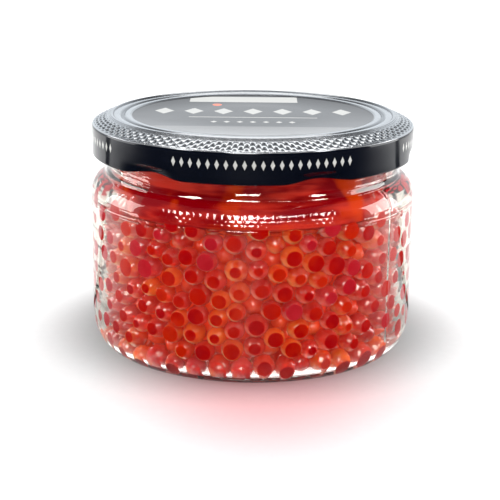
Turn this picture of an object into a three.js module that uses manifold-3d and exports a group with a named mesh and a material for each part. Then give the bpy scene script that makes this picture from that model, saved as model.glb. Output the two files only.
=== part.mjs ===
// A low clear glass jar packed with salmon roe and shut by a twist-off metal lid.
// Millimetres, +Z up. The origin is the centre of the jar's footprint, on the floor.

import * as THREE from "three";
import { mergeVertices } from "three/addons/utils/BufferGeometryUtils.js";
import Module from "manifold-3d";

const wasm = await Module();
wasm.setup();

// Driving sizes
const LID_RADIUS = 43.0; // an 82 mm twist-off closure
const TOTAL_HEIGHT = 62.3;
const BODY_RADIUS = 43.45;
const WALL = 3.4;
const FLOOR = 2.3;
const FIT_GAP = 0.3; // air kept between two solids that touch in the real jar
const ROUND_SEGMENTS = 40;

// Lid
const LID_SHEET = 0.6;
const LID_HEIGHT = 10.7;
const LID_BOTTOM = TOTAL_HEIGHT - LID_HEIGHT;
const RIDGE_RADIUS = 37.6;
const PANEL_RADIUS = 32.3;
const PANEL_DROP = 0.8; // the flat panel lies this far below the ridge
const PANEL_RING_HEIGHT = 0.35; // the low ring round the flat panel
const PANEL_GROOVE_DEPTH = 0.1; // the groove between that ring and the ridge
const CHAMFER_DROP = 2.5; // from the ridge down to the top of the skirt
const SKIRT_TOP = TOTAL_HEIGHT - CHAMFER_DROP;
const SKIRT_EDGE_ROUND = 0.7;
const CURL_RADIUS = 0.8;
const LUG_COUNT = 6;
const LUG_FIRST_ANGLE = THREE.MathUtils.degToRad(23); // from the front, towards +X
const LUG_HALF_WIDTH = THREE.MathUtils.degToRad(10);
const LUG_REACH = 2.1; // from the inside of the skirt towards the neck
const LUG_HEIGHT = 1.3;
const LUG_CHAMFER = 0.4;
const LUG_STEPS = 4;
const GASKET_INNER = 35.4;
const GASKET_OUTER = 39.9;

// Jar
const FOOT_RADIUS = 38.6;
const FOOT_WIDTH = 3.2; // the flat ring that the jar stands on
const HEEL_HEIGHT = 8.8;
const PUNT_SLOPE = 1.4;
const PUNT_HEIGHT = 0.9;
const SHOULDER_START = 41.5;
const SHOULDER_ROUND = 5.5;
const SHOULDER_SWEEP = THREE.MathUtils.degToRad(66);
const NECK_RADIUS = 39.3;
const NECK_START = 48.3;
const MOUTH_RADIUS = 36.6;
const RIM_TOP = TOTAL_HEIGHT - PANEL_DROP - LID_SHEET - 2 * FIT_GAP;
const RIM_ROUND = 0.9;
const THREAD_BULGE = 1.2;
const THREAD_RISE = 2.6; // from the top of the lugs to the middle of the thread
const THREAD_MIDDLE = LID_BOTTOM + LUG_HEIGHT + THREAD_RISE;
const THREAD_HALF_HEIGHT = 1.1;
const INNER_HEEL_WIDTH = 3.4;
const INNER_HEEL_HEIGHT = 4.6;
const INNER_SHOULDER_WIDTH = 4.3;
const INNER_SHOULDER_HEIGHT = 5.9;
const INNER_SHOULDER_SWEEP = THREE.MathUtils.degToRad(72);

// Roe
const PEARL_PITCH = 6.0; // from pearl to pearl, close to a pearl's own size
const PEARLS_AROUND = Math.round((2 * Math.PI * (BODY_RADIUS - WALL)) / PEARL_PITCH);
const ROW_SHARE = 0.87; // rise from one staggered row to the next, as a share of the pitch
const PEARL_RELIEF = 1.6;
const FULL_RELIEF_RADIUS = 36; // nearer the axis the rows crowd, so their relief fades
const GRID_COLUMNS = 3; // mesh columns to a pearl
const GRID_ROWS = 2; // mesh rows to a row of pearls
const DIP_RANGE = 4.5; // three waves run from 3 down to -1.5
const TOP_EDGE_ROUND = 2.0;
const FILL_DROP = 1.6; // from the rim down to the top of the roe
const FILL_TOP = RIM_TOP - FILL_DROP;

/** Points of a circular or elliptic arc in the (radius, height) plane. */
function arc(centreR, centreZ, radiusR, radiusZ, from, to, steps) {
  return Array.from({ length: steps + 1 }, (_, i) => {
    const angle = from + ((to - from) * i) / steps;
    return new THREE.Vector2(
      centreR + radiusR * Math.cos(angle),
      centreZ + radiusZ * Math.sin(angle),
    );
  });
}

/** Turns a geometry into a manifold-3d solid with its shared vertices merged. */
function toSolid(geometry) {
  const bare = new THREE.BufferGeometry();
  bare.setAttribute("position", geometry.getAttribute("position"));
  if (geometry.index) bare.setIndex(geometry.index);
  const merged = mergeVertices(bare, 1e-4);
  return new wasm.Manifold(
    new wasm.Mesh({
      numProp: 3,
      vertProperties: merged.attributes.position.array,
      triVerts: new Uint32Array(merged.index.array),
    }),
  );
}

/** Turns a manifold-3d solid back into a three.js geometry. */
function toGeometry(solid) {
  const mesh = solid.getMesh();
  const geometry = new THREE.BufferGeometry();
  geometry.setAttribute(
    "position",
    new THREE.BufferAttribute(new Float32Array(mesh.vertProperties), 3),
  );
  geometry.setIndex(new THREE.BufferAttribute(new Uint32Array(mesh.triVerts), 1));
  geometry.computeVertexNormals();
  return geometry;
}

/** Revolves a profile of (radius, height) points about the vertical axis. */
function revolve(profile, segments) {
  return new THREE.LatheGeometry(profile, segments).rotateX(Math.PI / 2);
}

function pointsOf(pairs) {
  return pairs.map(([r, z]) => new THREE.Vector2(r, z));
}

/** The inside of the jar from the middle of its floor to its mouth. */
function cavityProfile() {
  const innerRadius = BODY_RADIUS - WALL;
  return [
    ...pointsOf([[0, FLOOR + PUNT_HEIGHT]]),
    ...arc(
      innerRadius - INNER_HEEL_WIDTH,
      FLOOR + INNER_HEEL_HEIGHT,
      INNER_HEEL_WIDTH,
      INNER_HEEL_HEIGHT,
      -Math.PI / 2,
      0,
      4,
    ),
    ...arc(
      innerRadius - INNER_SHOULDER_WIDTH,
      SHOULDER_START,
      INNER_SHOULDER_WIDTH,
      INNER_SHOULDER_HEIGHT,
      0,
      INNER_SHOULDER_SWEEP,
      3,
    ),
    ...pointsOf([
      [MOUTH_RADIUS, NECK_START + 2 * FIT_GAP],
      [MOUTH_RADIUS, RIM_TOP - RIM_ROUND],
    ]),
  ];
}

function makeJar() {
  const outside = [
    ...pointsOf([
      [0, PUNT_HEIGHT],
      [FOOT_RADIUS - FOOT_WIDTH - PUNT_SLOPE, PUNT_HEIGHT],
      [FOOT_RADIUS - FOOT_WIDTH, 0],
    ]),
    ...arc(
      FOOT_RADIUS,
      HEEL_HEIGHT,
      BODY_RADIUS - FOOT_RADIUS,
      HEEL_HEIGHT,
      -Math.PI / 2,
      0,
      5,
    ),
    ...arc(
      BODY_RADIUS - SHOULDER_ROUND,
      SHOULDER_START,
      SHOULDER_ROUND,
      SHOULDER_ROUND,
      0,
      SHOULDER_SWEEP,
      4,
    ),
    ...pointsOf([
      [NECK_RADIUS, NECK_START],
      [NECK_RADIUS, THREAD_MIDDLE - THREAD_HALF_HEIGHT],
      [NECK_RADIUS + THREAD_BULGE, THREAD_MIDDLE],
      [NECK_RADIUS, THREAD_MIDDLE + THREAD_HALF_HEIGHT],
    ]),
    ...arc(
      NECK_RADIUS - RIM_ROUND,
      RIM_TOP - RIM_ROUND,
      RIM_ROUND,
      RIM_ROUND,
      0,
      Math.PI / 2,
      2,
    ),
    ...arc(
      MOUTH_RADIUS + RIM_ROUND,
      RIM_TOP - RIM_ROUND,
      RIM_ROUND,
      RIM_ROUND,
      Math.PI / 2,
      Math.PI,
      2,
    ).slice(0, -1),
  ];
  const profile = [...outside, ...cavityProfile().reverse()];
  return revolve(profile, ROUND_SEGMENTS);
}

function lidProfile() {
  const panelTop = TOTAL_HEIGHT - PANEL_DROP;
  const panelUnder = panelTop - LID_SHEET;
  const insideRadius = LID_RADIUS - LID_SHEET;
  const curlMiddle = LID_RADIUS - CURL_RADIUS;
  const top = [
    ...pointsOf([
      [0, panelTop],
      [PANEL_RADIUS, panelTop],
      [PANEL_RADIUS + 0.7, panelTop + PANEL_RING_HEIGHT],
      [PANEL_RADIUS + 1.6, panelTop + PANEL_RING_HEIGHT],
      [PANEL_RADIUS + 2.5, panelTop - PANEL_GROOVE_DEPTH],
      [PANEL_RADIUS + 3.3, panelTop + PANEL_GROOVE_DEPTH],
      [RIDGE_RADIUS - 0.7, TOTAL_HEIGHT],
      [RIDGE_RADIUS + 0.1, TOTAL_HEIGHT],
      [RIDGE_RADIUS + 0.7, TOTAL_HEIGHT - 0.2],
    ]),
    ...arc(
      LID_RADIUS - SKIRT_EDGE_ROUND,
      SKIRT_TOP - SKIRT_EDGE_ROUND,
      SKIRT_EDGE_ROUND,
      SKIRT_EDGE_ROUND,
      Math.PI * 0.38,
      0,
      2,
    ),
  ];
  const curl = arc(
    curlMiddle,
    LID_BOTTOM + CURL_RADIUS,
    CURL_RADIUS,
    CURL_RADIUS,
    0,
    -Math.PI,
    4,
  );
  const underside = pointsOf([
    [curlMiddle - CURL_RADIUS, LID_BOTTOM + 1.6 * CURL_RADIUS],
    [insideRadius, LID_BOTTOM + 2.4 * CURL_RADIUS],
    [insideRadius, SKIRT_TOP - 1.0],
    [GASKET_OUTER, panelUnder + 0.1],
    [GASKET_OUTER - 0.4, RIM_TOP + FIT_GAP],
    [GASKET_INNER + 0.4, RIM_TOP + FIT_GAP],
    [GASKET_INNER, panelUnder],
    [0, panelUnder],
  ]);
  return [...top, ...curl, ...underside].reverse();
}

/** One lug: a short inward rib pressed out of the lid's bottom curl. */
function lugSolid(middleAngle) {
  const outer = LID_RADIUS - CURL_RADIUS;
  const inner = LID_RADIUS - LID_SHEET - LUG_REACH;
  const low = LID_BOTTOM + LUG_CHAMFER / 2;
  const high = LID_BOTTOM + LUG_HEIGHT;
  const slice = [
    [outer, low],
    [outer, high],
    [inner + LUG_CHAMFER, high],
    [inner, high - LUG_CHAMFER],
    [inner, low + LUG_CHAMFER],
    [inner + LUG_CHAMFER, low],
  ];
  const count = slice.length;
  const positions = [];
  const triangles = [];
  for (let station = 0; station <= LUG_STEPS; station++) {
    const angle = middleAngle + LUG_HALF_WIDTH * ((2 * station) / LUG_STEPS - 1);
    for (const [reach, height] of slice)
      positions.push(reach * Math.sin(angle), -reach * Math.cos(angle), height);
  }
  for (let station = 0; station < LUG_STEPS; station++)
    for (let i = 0; i < count; i++) {
      const a = station * count + i;
      const b = station * count + ((i + 1) % count);
      triangles.push(a, b + count, b, a, a + count, b + count);
    }
  const last = LUG_STEPS * count;
  for (let i = 1; i + 1 < count; i++) {
    triangles.push(0, i, i + 1);
    triangles.push(last, last + i + 1, last + i);
  }
  const geometry = new THREE.BufferGeometry();
  geometry.setAttribute("position", new THREE.Float32BufferAttribute(positions, 3));
  geometry.setIndex(triangles);
  return toSolid(geometry);
}

function makeLid() {
  let lid = toSolid(revolve(lidProfile(), ROUND_SEGMENTS));
  for (let i = 0; i < LUG_COUNT; i++)
    lid = lid.add(lugSolid(LUG_FIRST_ANGLE + (i * 2 * Math.PI) / LUG_COUNT));
  return toGeometry(lid);
}

/** The roe's outer envelope, from the floor's middle up the wall to the top's rim. */
function fillPath() {
  const radius = BODY_RADIUS - WALL - FIT_GAP;
  const heelWidth = INNER_HEEL_WIDTH - FIT_GAP;
  const heelHeight = INNER_HEEL_HEIGHT - FIT_GAP;
  const bottom = FLOOR + FIT_GAP;
  const neck = MOUTH_RADIUS - FIT_GAP;
  const stops = [
    ...pointsOf([[0, bottom + PUNT_HEIGHT]]),
    ...arc(
      radius - heelWidth,
      bottom + heelHeight,
      heelWidth,
      heelHeight,
      -Math.PI / 2,
      0,
      8,
    ),
    ...arc(
      radius - INNER_SHOULDER_WIDTH,
      SHOULDER_START,
      INNER_SHOULDER_WIDTH,
      INNER_SHOULDER_HEIGHT - 2 * FIT_GAP,
      0,
      INNER_SHOULDER_SWEEP,
      6,
    ),
    ...pointsOf([
      [neck, NECK_START],
      [neck, FILL_TOP - TOP_EDGE_ROUND],
      [neck - TOP_EDGE_ROUND, FILL_TOP],
    ]),
  ];
  const path = new THREE.CurvePath();
  for (let i = 0; i + 1 < stops.length; i++)
    path.add(new THREE.LineCurve(stops[i], stops[i + 1]));
  return path;
}

/** How far the surface dips below its envelope, 0 on a pearl and 1 between pearls. */
function dip(around, along) {
  const waves =
    Math.cos(2 * Math.PI * around) +
    Math.cos(2 * Math.PI * along) +
    Math.cos(2 * Math.PI * (around - along));
  return (3 - waves) / DIP_RANGE;
}

/** The packed roe: one body whose whole surface is bumps of the pearls' size. */
function makeRoe() {
  const path = fillPath();
  const length = path.getLength();
  const pearlRows = Math.round(length / (PEARL_PITCH * ROW_SHARE));
  const rows = pearlRows * GRID_ROWS;
  const columns = PEARLS_AROUND * GRID_COLUMNS;
  const positions = [];
  const triangles = [];
  for (let row = 1; row < rows; row++) {
    const share = row / rows;
    const at = path.getPointAt(share);
    const tangent = path.getTangentAt(share);
    const relief = PEARL_RELIEF * Math.min(1, at.x / FULL_RELIEF_RADIUS);
    const twist = row / GRID_ROWS / 2; // each row of pearls is set half a pearl on from the last
    for (let column = 0; column < columns; column++) {
      const around = column / GRID_COLUMNS;
      const depth = relief * dip(around, row / GRID_ROWS);
      const angle = ((around + twist) * 2 * Math.PI) / PEARLS_AROUND;
      const reach = at.x - tangent.y * depth;
      positions.push(
        reach * Math.sin(angle),
        -reach * Math.cos(angle),
        at.y + tangent.x * depth,
      );
    }
  }
  const bottomPole = positions.length / 3;
  const topPole = bottomPole + 1;
  positions.push(0, 0, path.getPointAt(0).y, 0, 0, FILL_TOP);
  const lastRow = (rows - 2) * columns;
  for (let column = 0; column < columns; column++) {
    const next = (column + 1) % columns;
    triangles.push(bottomPole, next, column);
    triangles.push(topPole, lastRow + column, lastRow + next);
    for (let row = 0; row + 2 < rows; row++) {
      const low = row * columns;
      const high = low + columns;
      triangles.push(low + column, low + next, high + column);
      triangles.push(low + next, high + next, high + column);
    }
  }
  const geometry = new THREE.BufferGeometry();
  geometry.setAttribute("position", new THREE.Float32BufferAttribute(positions, 3));
  geometry.setIndex(triangles);
  geometry.computeVertexNormals();
  return geometry;
}

/** A named mesh with its own material. */
function piece(name, geometry, look) {
  const mesh = new THREE.Mesh(geometry, new THREE.MeshStandardMaterial(look));
  mesh.name = name;
  return mesh;
}

const group = new THREE.Group();
group.add(
  piece("jar", makeJar(), {
    color: 0xeef2f0,
    roughness: 0.05,
    metalness: 0,
    transparent: true,
    opacity: 0.35,
  }),
  piece("lid", makeLid(), { color: 0x10182a, roughness: 0.2, metalness: 0.3 }),
  piece("roe", makeRoe(), { color: 0xc8241a, roughness: 0.25, metalness: 0 }),
);

export default group;
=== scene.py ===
"""A low glass jar packed with salmon roe and shut by a twist-off lid, on a pale studio floor.

Sizes are millimetres in every class, and a mesh is written in metres. The frame is the CAD
model's: +Z up, the origin in the middle of the jar's footprint, -Y towards the viewer.
"""

import logging
import math
from dataclasses import dataclass, field
from enum import Enum

import bmesh
import bpy
import numpy as np
from mathutils import Matrix, Vector

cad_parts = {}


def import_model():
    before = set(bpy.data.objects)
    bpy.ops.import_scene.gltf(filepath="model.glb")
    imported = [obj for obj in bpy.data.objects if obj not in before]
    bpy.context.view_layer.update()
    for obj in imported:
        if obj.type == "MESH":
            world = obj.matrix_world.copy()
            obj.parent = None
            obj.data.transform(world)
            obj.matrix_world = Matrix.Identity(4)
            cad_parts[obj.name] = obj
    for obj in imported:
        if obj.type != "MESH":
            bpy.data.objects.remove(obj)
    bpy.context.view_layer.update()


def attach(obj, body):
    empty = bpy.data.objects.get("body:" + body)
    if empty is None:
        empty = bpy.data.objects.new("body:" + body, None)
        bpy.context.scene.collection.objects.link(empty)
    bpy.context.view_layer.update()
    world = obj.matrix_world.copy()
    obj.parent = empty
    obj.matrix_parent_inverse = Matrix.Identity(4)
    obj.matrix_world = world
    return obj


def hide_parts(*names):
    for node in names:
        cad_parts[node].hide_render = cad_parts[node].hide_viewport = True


MM = 0.001
MERGE_DISTANCE = 1e-6
TINY = 1e-6
MOST_WEDGES = 24
ON_SURFACE = 0.02
NO_DISC = 0.1
FILL_TOP = 58.7
BLACK = (0.0, 0.0, 0.0)

Pair = tuple[float, float]
Outline = list[Pair]
Triple = tuple[float, float, float]
Colour = Triple
Socket = bpy.types.NodeSocket

log = logging.getLogger("roe_jar")


class PearlTone(Enum):
    """The three tones of pearl that the jar holds."""

    RED = "red"
    ORANGE = "orange"
    ROSE = "rose"


# Outlines and revolved meshes


def arc(centre: Pair, radii: Pair, start: float, end: float, steps: int) -> Outline:
    """Gives the points of a circular or elliptic arc in the (radius, height) plane.

    Args:
        centre: the arc's centre.
        radii: its half widths along the radius and the height.
        start: the first angle in degrees, 0 pointing outwards and 90 up.
        end: the last angle in degrees.
        steps: how many pieces the arc is cut into.

    Returns:
        The points, both ends included.
    """
    angles = np.radians(np.linspace(start, end, steps + 1))
    return [
        (centre[0] + radii[0] * math.cos(a), centre[1] + radii[1] * math.sin(a))
        for a in angles
    ]


def bend(start: Pair, corner: Pair, end: Pair, steps: int) -> Outline:
    """Gives a smooth bend from start to end that leaves and arrives towards corner.

    Args:
        start: the first point.
        corner: the point that both end directions aim at.
        end: the last point.
        steps: how many pieces the bend is cut into.

    Returns:
        The points between the two ends, and the end.
    """
    return [
        tuple(
            (1 - t) ** 2 * a + 2 * t * (1 - t) * b + t * t * c
            for a, b, c in zip(start, corner, end)
        )
        for t in np.linspace(0.0, 1.0, steps + 1)[1:]
    ]


def line(start: Pair, end: Pair, steps: int) -> Outline:
    """Gives the points of a straight line.

    Args:
        start: the first point.
        end: the last point.
        steps: how many pieces the line is cut into.

    Returns:
        The points between the two ends, and the end.
    """
    return [
        (start[0] + (end[0] - start[0]) * t, start[1] + (end[1] - start[1]) * t)
        for t in np.linspace(0.0, 1.0, steps + 1)[1:]
    ]


def lathe(outline: Outline, steps: int) -> bmesh.types.BMesh:
    """Spins an outline round the vertical axis into a closed skin.

    One wedge is spun and then copied round, which is far quicker than one long spin.

    Args:
        outline: (radius, height) points in millimetres, with both ends on the axis.
        steps: how many columns the full turn has.

    Returns:
        The mesh in metres, its seams and poles merged and its faces pointing out.
    """
    wedges = max(count for count in range(1, MOST_WEDGES + 1) if steps % count == 0)
    wedge_angle = math.tau / wedges
    mesh = bmesh.new()
    points = [mesh.verts.new((r * MM, 0.0, z * MM)) for r, z in outline]
    edges = [mesh.edges.new(pair) for pair in zip(points, points[1:])]
    bmesh.ops.spin(
        mesh,
        geom=points + edges,
        cent=(0.0, 0.0, 0.0),
        axis=(0.0, 0.0, 1.0),
        angle=wedge_angle,
        steps=steps // wedges,
        use_merge=False,
        use_duplicate=False,
    )
    wedge = mesh.verts[:] + mesh.edges[:] + mesh.faces[:]
    for turn in range(1, wedges):
        copied = bmesh.ops.duplicate(mesh, geom=wedge)["geom"]
        bmesh.ops.rotate(
            mesh,
            cent=(0.0, 0.0, 0.0),
            matrix=Matrix.Rotation(turn * wedge_angle, 3, "Z"),
            verts=[item for item in copied if isinstance(item, bmesh.types.BMVert)],
        )
    bmesh.ops.remove_doubles(mesh, verts=mesh.verts, dist=MERGE_DISTANCE)
    bmesh.ops.recalc_face_normals(mesh, faces=mesh.faces)
    return mesh


def finished_mesh(mesh: bmesh.types.BMesh, name: str) -> bpy.types.Mesh:
    """Writes a bmesh into a new smooth mesh and frees it.

    Args:
        mesh: the shape in metres.
        name: the new mesh's name.

    Returns:
        The new mesh.
    """
    data = bpy.data.meshes.new(name)
    mesh.to_mesh(data)
    mesh.free()
    data.polygons.foreach_set("use_smooth", [True] * len(data.polygons))
    return data


def points_of(data: bpy.types.Mesh) -> np.ndarray:
    """Reads a mesh's vertices.

    Args:
        data: the mesh.

    Returns:
        Rows of x, y and z in millimetres.
    """
    flat = np.empty(len(data.vertices) * 3, dtype=np.float32)
    data.vertices.foreach_get("co", flat)
    return flat.reshape(-1, 3).astype(float) / MM


def move_points(data: bpy.types.Mesh, points: np.ndarray) -> None:
    """Puts a mesh's vertices at new places given in millimetres."""
    data.vertices.foreach_set("co", (points * MM).astype(np.float32).ravel())
    data.update()


def set_values(data: bpy.types.Mesh, name: str, values: np.ndarray) -> None:
    """Keeps one number for each vertex as a named attribute that finishes can read."""
    attribute = data.attributes.new(name, "FLOAT", "POINT")
    attribute.data.foreach_set("value", values.astype(np.float32))


def shown(data: bpy.types.Mesh, material: bpy.types.Material) -> bpy.types.Object:
    """Puts a mesh in the scene.

    Args:
        data: the mesh.
        material: its only material.

    Returns:
        The new object, named as the mesh.
    """
    piece = bpy.data.objects.new(data.name, data)
    data.materials.append(material)
    bpy.context.scene.collection.objects.link(piece)
    return piece


def soft_step(value: np.ndarray, low: float, high: float) -> np.ndarray:
    """Rises smoothly from 0 at low to 1 at high."""
    share = np.clip((value - low) / (high - low), 0.0, 1.0)
    return share * share * (3.0 - 2.0 * share)


def soft_band(
    value: np.ndarray, start: float, full: float, fading: float, end: float
) -> np.ndarray:
    """Rises smoothly from start to full, and falls again from fading to end."""
    return soft_step(value, start, full) * (1.0 - soft_step(value, fading, end))


def turn_apart(angles: np.ndarray, middle: float, period: float) -> np.ndarray:
    """Gives each angle's signed distance from the nearest of evenly repeated middles."""
    return (angles - middle + period / 2) % period - period / 2


def front_angles(points: np.ndarray) -> np.ndarray:
    """Gives each point's angle round the jar, 0 at the front and growing towards +X."""
    return np.arctan2(points[:, 0], -points[:, 1])


def reach_of(points: np.ndarray) -> np.ndarray:
    """Gives each point's distance from the vertical axis."""
    return np.hypot(points[:, 0], points[:, 1])


def push(points: np.ndarray, outwards: np.ndarray, upwards: np.ndarray) -> None:
    """Moves points in place.

    Args:
        points: the points, one per row.
        outwards: how far each one goes away from the vertical axis.
        upwards: how far it goes up.
    """
    around = front_angles(points)
    points[:, 0] += outwards * np.sin(around)
    points[:, 1] -= outwards * np.cos(around)
    points[:, 2] += upwards


# Shader helpers


class NodeDesk:
    """Adds nodes to one node tree and links them."""

    def __init__(self, tree: bpy.types.NodeTree) -> None:
        """Takes the tree to work on."""
        self.tree = tree

    def node(
        self, kind: str, inputs: dict[str | int, object] | None = None, **settings: object
    ) -> bpy.types.Node:
        """Adds a node.

        Args:
            kind: the node's type name.
            inputs: values or output sockets by input name, or by position for twins.
            settings: the node's own properties.

        Returns:
            The new node.
        """
        made = self.tree.nodes.new(kind)
        for key, value in settings.items():
            setattr(made, key, value)
        for key, value in (inputs or {}).items():
            self.feed(made.inputs[key], value)
        return made

    def feed(self, socket: Socket, value: object) -> None:
        """Links an output to an input socket, or sets its plain value.

        Args:
            socket: the input socket.
            value: an output socket, a number, or a colour as three numbers.
        """
        if isinstance(value, Socket):
            self.tree.links.new(value, socket)
        elif isinstance(value, tuple) and len(value) == 3 and socket.type == "RGBA":
            socket.default_value = (*value, 1.0)
        else:
            socket.default_value = value

    def maths(self, operation: str, *values: object) -> Socket:
        """Adds a Math node.

        Args:
            operation: what the node works out, by Blender's name.
            values: its inputs in order, each a number or an output socket.

        Returns:
            The node's output.
        """
        made = self.node("ShaderNodeMath", operation=operation)
        for socket, value in zip(made.inputs, values):
            self.feed(socket, value)
        return made.outputs[0]

    def blend(self, share: object, first: object, second: object, how: str = "MIX") -> Socket:
        """Mixes two colours and gives the result."""
        values = {0: share, 6: first, 7: second}
        return self.node("ShaderNodeMix", values, data_type="RGBA", blend_type=how).outputs[2]

    def tint(self, share: object, first: object, second: object) -> Socket:
        """Multiplies a colour by a second one, as far as share says."""
        return self.blend(share, first, second, "MULTIPLY")

    def ramp(
        self, value: object, low: float, high: float, start: object = 0.0, end: object = 1.0
    ) -> Socket:
        """Maps low to start and high to end smoothly, held beyond both.

        Args:
            value: what is mapped.
            low: the value that gives start.
            high: the value that gives end.
            start: the result at low.
            end: the result at high.

        Returns:
            The mapped value.
        """
        names = ("Value", "From Min", "From Max", "To Min", "To Max")
        values = dict(zip(names, (value, low, high, start, end)))
        return self.node(
            "ShaderNodeMapRange", values, interpolation_type="SMOOTHSTEP"
        ).outputs["Result"]

    def step(self, value: object, edge: float, soft: float) -> Socket:
        """Gives 1 above edge and 0 below, or the other way round if soft is negative."""
        rising = (0.0, 1.0) if soft > 0.0 else (1.0, 0.0)
        return self.ramp(value, edge - abs(soft), edge + abs(soft), *rising)

    def length(self, first: object, second: object) -> Socket:
        """Gives the length of a flat vector from its two parts."""
        squares = (self.maths("MULTIPLY", part, part) for part in (first, second))
        return self.maths("SQRT", self.maths("ADD", *squares))

    def off(self, value: object, middle: float) -> Socket:
        """Gives how far a value is from a middle, on either side."""
        return self.maths("ABSOLUTE", self.maths("SUBTRACT", value, middle))

    def front_angle(self, x: Socket, y: Socket) -> Socket:
        """Gives the angle round the jar, 0 at the front and growing towards +X."""
        return self.maths("ARCTAN2", x, self.maths("MULTIPLY", y, -1.0))

    def place(self) -> Socket:
        """Gives the place in the piece's own frame, in metres."""
        return self.node("ShaderNodeTexCoord").outputs["Object"]

    def place_in_mm(self) -> list[Socket]:
        """Gives x, y and z in the piece's own frame, in millimetres."""
        apart = self.node("ShaderNodeSeparateXYZ", {"Vector": self.place()})
        return [self.maths("DIVIDE", part, MM) for part in apart.outputs]

    def attribute(self, name: str) -> Socket:
        """Reads one of the mesh's own named attributes."""
        return self.node("ShaderNodeAttribute", attribute_name=name).outputs["Fac"]

    def group(self, tree: bpy.types.NodeTree, **values: object) -> Socket:
        """Places a shared node group with its own values and gives its output."""
        return self.node("ShaderNodeGroup", values, node_tree=tree).outputs[0]

    def mixed(
        self, share: object, first: bpy.types.Node, second: bpy.types.Node
    ) -> bpy.types.Node:
        """Mixes two shaders."""
        values = {0: share, 1: first.outputs[0], 2: second.outputs[0]}
        return self.node("ShaderNodeMixShader", values)

    def surface(self, shader: bpy.types.Node) -> bpy.types.Node:
        """Ends the material with a shader and gives the output node."""
        return self.node("ShaderNodeOutputMaterial", {"Surface": shader.outputs[0]})


def new_material(name: str) -> tuple[bpy.types.Material, NodeDesk]:
    """Makes an empty node material.

    Args:
        name: the material's name.

    Returns:
        The material, and a desk for its tree.
    """
    material = bpy.data.materials.new(name)
    material.use_nodes = True
    material.node_tree.nodes.clear()
    return material, NodeDesk(material.node_tree)


class GroupMaker:
    """Makes the shader node groups that several finishes share."""

    def __init__(self) -> None:
        """Makes both groups."""
        self.mottle = self._mottle()
        self.ripple = self._ripple()

    @staticmethod
    def _start(
        name: str, inputs: dict[str, float], output: str, kind: str
    ) -> tuple[NodeDesk, dict[str, Socket], Socket]:
        """Makes an empty group with named sockets.

        Args:
            name: the group's name.
            inputs: the plain numbers it takes, with their usual values.
            output: the name of what it gives.
            kind: the output socket's type.

        Returns:
            A desk for the group, its inputs by name and the socket that takes the result.
        """
        tree = bpy.data.node_groups.new(name, "ShaderNodeTree")
        for label, value in inputs.items():
            socket = tree.interface.new_socket(
                label, in_out="INPUT", socket_type="NodeSocketFloat"
            )
            socket.default_value = value
        tree.interface.new_socket(output, in_out="OUTPUT", socket_type=kind)
        desk = NodeDesk(tree)
        given = desk.node("NodeGroupInput").outputs
        result = desk.node("NodeGroupOutput").inputs[output]
        return desk, {label: given[label] for label in inputs}, result

    def _mottle(self) -> bpy.types.NodeTree:
        """Makes uneven patches between a low and a high value.

        Returns:
            The group, which takes Spots, Low and High.
        """
        desk, given, result = self._start(
            "Mottle", {"Spots": 200.0, "Low": 0.0, "High": 1.0}, "Value", "NodeSocketFloat"
        )
        noise = desk.node(
            "ShaderNodeTexNoise",
            {"Vector": desk.place(), "Scale": given["Spots"], "Detail": 2.0},
        )
        patches = desk.ramp(noise.outputs["Fac"], 0.35, 0.65, given["Low"], given["High"])
        desk.feed(result, patches)
        return desk.tree

    def _ripple(self) -> bpy.types.NodeTree:
        """Makes the soft waves of a surface that was shaped hot or pressed.

        Returns:
            The group, which takes Waves, Strength and Layers.
        """
        desk, given, result = self._start(
            "Ripple",
            {"Waves": 60.0, "Strength": 0.1, "Layers": 1.0},
            "Normal",
            "NodeSocketVector",
        )
        x, y, z = desk.node("ShaderNodeSeparateXYZ", {"Vector": desk.place()}).outputs
        layered = desk.node(
            "ShaderNodeCombineXYZ",
            {"X": x, "Y": y, "Z": desk.maths("MULTIPLY", z, given["Layers"])},
        )
        noise = desk.node(
            "ShaderNodeTexNoise",
            {"Vector": layered.outputs[0], "Scale": given["Waves"], "Detail": 1.0},
        )
        bump = desk.node(
            "ShaderNodeBump",
            {"Height": noise.outputs["Fac"], "Strength": given["Strength"], "Distance": MM},
        )
        desk.feed(result, bump.outputs["Normal"])
        return desk.tree


# Finishes


def let_through(desk: NodeDesk, shader: bpy.types.Node, tint: Colour) -> bpy.types.Node:
    """Ends a clear material so that light from lamps and soft bounces passes straight.

    Args:
        desk: the material's node desk.
        shader: the shader that the camera sees.
        tint: what the passing light is multiplied by at each surface.

    Returns:
        The material's output node.
    """
    path = desk.node("ShaderNodeLightPath")
    clear = desk.node("ShaderNodeBsdfTransparent", {"Color": tint})
    for ray in ("Is Shadow Ray", "Is Diffuse Ray"):
        shader = desk.mixed(path.outputs[ray], shader, clear)
    return desk.surface(shader)


def uneven_shade(desk: NodeDesk, groups: GroupMaker, spread: float) -> Socket:
    """Gives each pearl's own shade with fine spots in it.

    Args:
        desk: the material's node desk.
        groups: the shared node groups.
        spread: how far the spots stray from the pearl's shade.

    Returns:
        The shade, from 0 to 1.
    """
    spots = desk.group(groups.mottle, Spots=260.0, Low=-spread, High=spread)
    shade = desk.maths("ADD", desk.attribute("shade"), spots)
    return desk.maths("MINIMUM", desk.maths("MAXIMUM", shade, 0.0), 1.0)


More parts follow.
